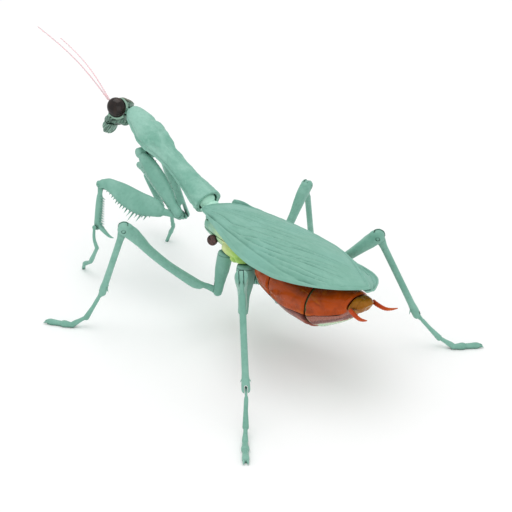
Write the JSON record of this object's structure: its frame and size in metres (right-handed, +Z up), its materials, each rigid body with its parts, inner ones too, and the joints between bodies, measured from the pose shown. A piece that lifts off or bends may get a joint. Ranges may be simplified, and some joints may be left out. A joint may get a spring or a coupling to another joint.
{
  "type": "articulated praying mantis display figure",
  "caption": "Standing articulated praying mantis model kit figure with ball-jointed head, waist and abdomen, hinged raptorial and walking legs and two opening forewings.",
  "frame": {"origin": "centre of the figure's bounding box, on the surface the feet stand on", "axes": "+X towards the head along the body, +Y to the creature's left, +Z up; the figure stands on z = 0"},
  "size_m": [0.1989, 0.1298, 0.096],
  "materials": {
    "teal_plastic": "satin painted plastic with a dark wash in the creases",
    "wing_plastic": "satin painted plastic with fine veins",
    "mint_joint_plastic": "satin moulded plastic",
    "lime_plastic": "satin painted plastic, shaded from pale green to lime",
    "head_plastic": "satin painted plastic with a dark wash",
    "eye_gloss": "high gloss",
    "brown_plastic": "semi-gloss",
    "amber_plastic": "gloss, shaded from orange to dark red",
    "maroon_plastic": "gloss",
    "green_joint_plastic": "semi-gloss",
    "belly_plastic": "semi-gloss",
    "olive_plastic": "gloss",
    "bristle": "soft nylon-like bristle"
  },
  "bodies": {
    "thorax": {"thorax_upper_shell": "lime_plastic", "thorax_lower_shell": "lime_plastic", "thorax_peg_left": "brown_plastic", "thorax_peg_right": "brown_plastic"},
    "waist_link": {"waist_ball": "mint_joint_plastic"},
    "prothorax": {"pronotum_shell": "teal_plastic", "prosternum_shell": "teal_plastic"},
    "neck": {"neck_ball": "mint_joint_plastic"},
    "head": {"head_shell": "head_plastic", "mouthparts": "head_plastic", "eye_left": "eye_gloss", "eye_right": "eye_gloss", "antenna_left": "bristle", "antenna_right": "bristle"},
    "abdomen": {"abdomen_front": "amber_plastic", "abdomen_middle": "amber_plastic", "sternite_front": "maroon_plastic", "sternite_middle": "maroon_plastic", "abdomen_joint": "green_joint_plastic"},
    "abdomen_end": {"abdomen_rear": "amber_plastic", "sternite_rear": "belly_plastic", "abdomen_tip": "olive_plastic", "cercus_left": "amber_plastic", "cercus_right": "amber_plastic"},
    "wing_left": {"left_forewing": "wing_plastic"},
    "wing_right": {"right_forewing": "wing_plastic"},
    "fore_coxa_left": {"fore_coxa_left": "teal_plastic"},
    "fore_femur_left": {"fore_femur_left": "teal_plastic", "fore_knee_pin_left": "teal_plastic"},
    "fore_tibia_left": {"fore_tibia_left": "teal_plastic"},
    "fore_tarsus_left": {"fore_tarsus_left": "teal_plastic"},
    "fore_coxa_right": {"fore_coxa_right": "teal_plastic"},
    "fore_femur_right": {"fore_femur_right": "teal_plastic", "fore_knee_pin_right": "teal_plastic"},
    "fore_tibia_right": {"fore_tibia_right": "teal_plastic"},
    "fore_tarsus_right": {"fore_tarsus_right": "teal_plastic"},
    "mid_coxa_left": {"mid_coxa_left": "teal_plastic"},
    "mid_femur_left": {"mid_femur_left": "teal_plastic", "mid_knee_pin_left": "teal_plastic"},
    "mid_tibia_left": {"mid_tibia_left": "teal_plastic"},
    "mid_tarsus_left": {"mid_tarsus_left": "teal_plastic"},
    "mid_coxa_right": {"mid_coxa_right": "teal_plastic"},
    "mid_femur_right": {"mid_femur_right": "teal_plastic", "mid_knee_pin_right": "teal_plastic"},
    "mid_tibia_right": {"mid_tibia_right": "teal_plastic"},
    "mid_tarsus_right": {"mid_tarsus_right": "teal_plastic"},
    "hind_coxa_left": {"hind_coxa_left": "teal_plastic"},
    "hind_femur_left": {"hind_femur_left": "teal_plastic", "hind_knee_pin_left": "teal_plastic"},
    "hind_tibia_left": {"hind_tibia_left": "teal_plastic"},
    "hind_tarsus_left": {"hind_tarsus_left": "teal_plastic"},
    "hind_coxa_right": {"hind_coxa_right": "teal_plastic"},
    "hind_femur_right": {"hind_femur_right": "teal_plastic", "hind_knee_pin_right": "teal_plastic"},
    "hind_tibia_right": {"hind_tibia_right": "teal_plastic"},
    "hind_tarsus_right": {"hind_tarsus_right": "teal_plastic"}
  },
  "joints": [
    {"name": "waist_pitch", "type": "hinge", "parent": "thorax", "child": "waist_link", "pos_m": [-0.00827, 0.00412, 0.0394], "axis": [0, 1, 0], "range_deg": [-6, 8]},
    {"name": "waist_yaw", "type": "hinge", "parent": "waist_link", "child": "prothorax", "pos_m": [0.00153, 0.00412, 0.0441], "axis": [-0.4031, 0, 0.9152], "range_deg": [-12, 12]},
    {"name": "neck_yaw", "type": "hinge", "parent": "prothorax", "child": "neck", "pos_m": [0.05223, 0.00412, 0.0629], "axis": [-0.4031, 0, 0.9152], "range_deg": [-20, 20]},
    {"name": "head_pitch", "type": "hinge", "parent": "neck", "child": "head", "pos_m": [0.05613, 0.00412, 0.0633], "axis": [-0.5891, 0.6716, 0.4494], "range_deg": [-12, 15]},
    {"name": "abdomen_pitch", "type": "hinge", "parent": "thorax", "child": "abdomen", "pos_m": [-0.03277, 0.00412, 0.036], "axis": [0, -1, 0], "range_deg": [0, 5]},
    {"name": "abdomen_rear_pitch", "type": "hinge", "parent": "abdomen", "child": "abdomen_end", "pos_m": [-0.07227, 0.00412, 0.031], "axis": [0, -1, 0], "range_deg": [0, 6]},
    {"name": "wing_left_hinge", "type": "hinge", "parent": "thorax", "child": "wing_left", "pos_m": [-0.00597, 0.00812, 0.0401], "axis": [0, 0.9781, -0.208], "range_deg": [0, 15]},
    {"name": "wing_right_hinge", "type": "hinge", "parent": "thorax", "child": "wing_right", "pos_m": [-0.01087, -0.00088, 0.04], "axis": [0, 0.9781, 0.208], "range_deg": [0, 12]},
    {"name": "fore_coxa_left_joint", "type": "hinge", "parent": "prothorax", "child": "fore_coxa_left", "pos_m": [0.03823, 0.00912, 0.052], "axis": [0, 1, 0], "range_deg": [-15, 10]},
    {"name": "fore_femur_left_joint", "type": "hinge", "parent": "fore_coxa_left", "child": "fore_femur_left", "pos_m": [0.00775, 0.01195, 0.03653], "axis": [0.3119, -0.6121, -0.7267], "range_deg": [-25, 3]},
    {"name": "fore_tibia_left_joint", "type": "hinge", "parent": "fore_femur_left", "child": "fore_tibia_left", "pos_m": [0.04334, 0.02519, 0.04066], "axis": [-0.359, 0.9236, 0.1343], "range_deg": [-20, 20]},
    {"name": "fore_tarsus_left_joint", "type": "hinge", "parent": "fore_tibia_left", "child": "fore_tarsus_left", "pos_m": [0.04344, 0.0278, 0.02295], "axis": [-0.359, 0.9236, 0.1343], "range_deg": [-15, 15]},
    {"name": "fore_coxa_right_joint", "type": "hinge", "parent": "prothorax", "child": "fore_coxa_right", "pos_m": [0.03823, -0.00088, 0.052], "axis": [0, 1, 0], "range_deg": [-15, 10]},
    {"name": "fore_femur_right_joint", "type": "hinge", "parent": "fore_coxa_right", "child": "fore_femur_right", "pos_m": [0.03694, -0.01042, 0.01908], "axis": [-0.1481, -0.9483, 0.2806], "range_deg": [-20, 15]},
    {"name": "fore_tibia_right_joint", "type": "hinge", "parent": "fore_femur_right", "child": "fore_tibia_right", "pos_m": [0.07384, -0.01339, 0.02851], "axis": [0.1369, 0.9629, -0.2326], "range_deg": [-25, 3]},
    {"name": "fore_tarsus_right_joint", "type": "hinge", "parent": "fore_tibia_right", "child": "fore_tarsus_right", "pos_m": [0.06316, -0.01531, 0.01427], "axis": [0.1369, 0.9629, -0.2326], "range_deg": [-15, 15]},
    {"name": "mid_coxa_left_joint", "type": "hinge", "parent": "thorax", "child": "mid_coxa_left", "pos_m": [-0.01917, 0.00962, 0.0318], "axis": [0.0305, 0.2229, -0.9744], "range_deg": [-20, 20]},
    {"name": "mid_femur_left_joint", "type": "hinge", "parent": "mid_coxa_left", "child": "mid_femur_left", "pos_m": [-0.01865, 0.01341, 0.01524], "axis": [-0.7792, 0.5884, -0.2158], "range_deg": [-5, 15]},
    {"name": "mid_tibia_left_joint", "type": "hinge", "parent": "mid_femur_left", "child": "mid_tibia_left", "pos_m": [-0.0037, 0.04421, 0.04521], "axis": [-0.7792, 0.5884, -0.2158], "range_deg": [-40, 12]},
    {"name": "mid_tarsus_left_joint", "type": "hinge", "parent": "mid_tibia_left", "child": "mid_tarsus_left", "pos_m": [0.00765, 0.04816, 0.01501], "axis": [-0.7792, 0.5884, -0.2158], "range_deg": [-15, 15]},
    {"name": "mid_coxa_right_joint", "type": "hinge", "parent": "thorax", "child": "mid_coxa_right", "pos_m": [-0.01917, -0.00138, 0.0318], "axis": [-0.0815, -0.1514, -0.9851], "range_deg": [-20, 20]},
    {"name": "mid_femur_right_joint", "type": "hinge", "parent": "mid_coxa_right", "child": "mid_femur_right", "pos_m": [-0.02056, -0.00395, 0.01505], "axis": [0.9129, 0.4016, 0.0726], "range_deg": [-12, 15]},
    {"name": "mid_tibia_right_joint", "type": "hinge", "parent": "mid_femur_right", "child": "mid_tibia_right", "pos_m": [-0.00715, -0.03907, 0.04069], "axis": [0.9129, 0.4016, 0.0726], "range_deg": [-40, 12]},
    {"name": "mid_tarsus_right_joint", "type": "hinge", "parent": "mid_tibia_right", "child": "mid_tarsus_right", "pos_m": [-0.00098, -0.04753, 0.00993], "axis": [0.9129, 0.4016, 0.0726], "range_deg": [-15, 15]},
    {"name": "hind_coxa_left_joint", "type": "hinge", "parent": "thorax", "child": "hind_coxa_left", "pos_m": [-0.03157, 0.00962, 0.0315], "axis": [-0.134, 0.1785, -0.9748], "range_deg": [-8, 25]},
    {"name": "hind_femur_left_joint", "type": "hinge", "parent": "hind_coxa_left", "child": "hind_femur_left", "pos_m": [-0.03405, 0.01292, 0.01347], "axis": [-0.5889, -0.8075, 0.0324], "range_deg": [-8, 15]},
    {"name": "hind_tibia_left_joint", "type": "hinge", "parent": "hind_femur_left", "child": "hind_tibia_left", "pos_m": [-0.06352, 0.03578, 0.04752], "axis": [-0.5889, -0.8075, 0.0324], "range_deg": [-40, 12]},
    {"name": "hind_tarsus_left_joint", "type": "hinge", "parent": "hind_tibia_left", "child": "hind_tarsus_left", "pos_m": [-0.07703, 0.04426, 0.01314], "axis": [-0.5889, -0.8075, 0.0324], "range_deg": [-15, 15]},
    {"name": "hind_coxa_right_joint", "type": "hinge", "parent": "thorax", "child": "hind_coxa_right", "pos_m": [-0.03157, -0.00138, 0.0315], "axis": [-0.1974, -0.1006, -0.9751], "range_deg": [-25, 2]},
    {"name": "hind_femur_right_joint", "type": "hinge", "parent": "hind_coxa_right", "child": "hind_femur_right", "pos_m": [-0.03522, -0.00324, 0.01346], "axis": [0.6378, -0.7472, 0.1867], "range_deg": [-3, 15]},
    {"name": "hind_tibia_right_joint", "type": "hinge", "parent": "hind_femur_right", "child": "hind_tibia_right", "pos_m": [-0.06759, -0.02246, 0.04712], "axis": [0.6378, -0.7472, 0.1867], "range_deg": [-40, 12]},
    {"name": "hind_tarsus_right_joint", "type": "hinge", "parent": "hind_tibia_right", "child": "hind_tarsus_right", "pos_m": [-0.07459, -0.037, 0.01283], "axis": [0.6378, -0.7472, 0.1867], "range_deg": [-15, 15]}
  ],
  "couplings": [
    {"joint": "wing_right_hinge", "follows": "wing_left_hinge", "ratio": 0.8}
  ]
}
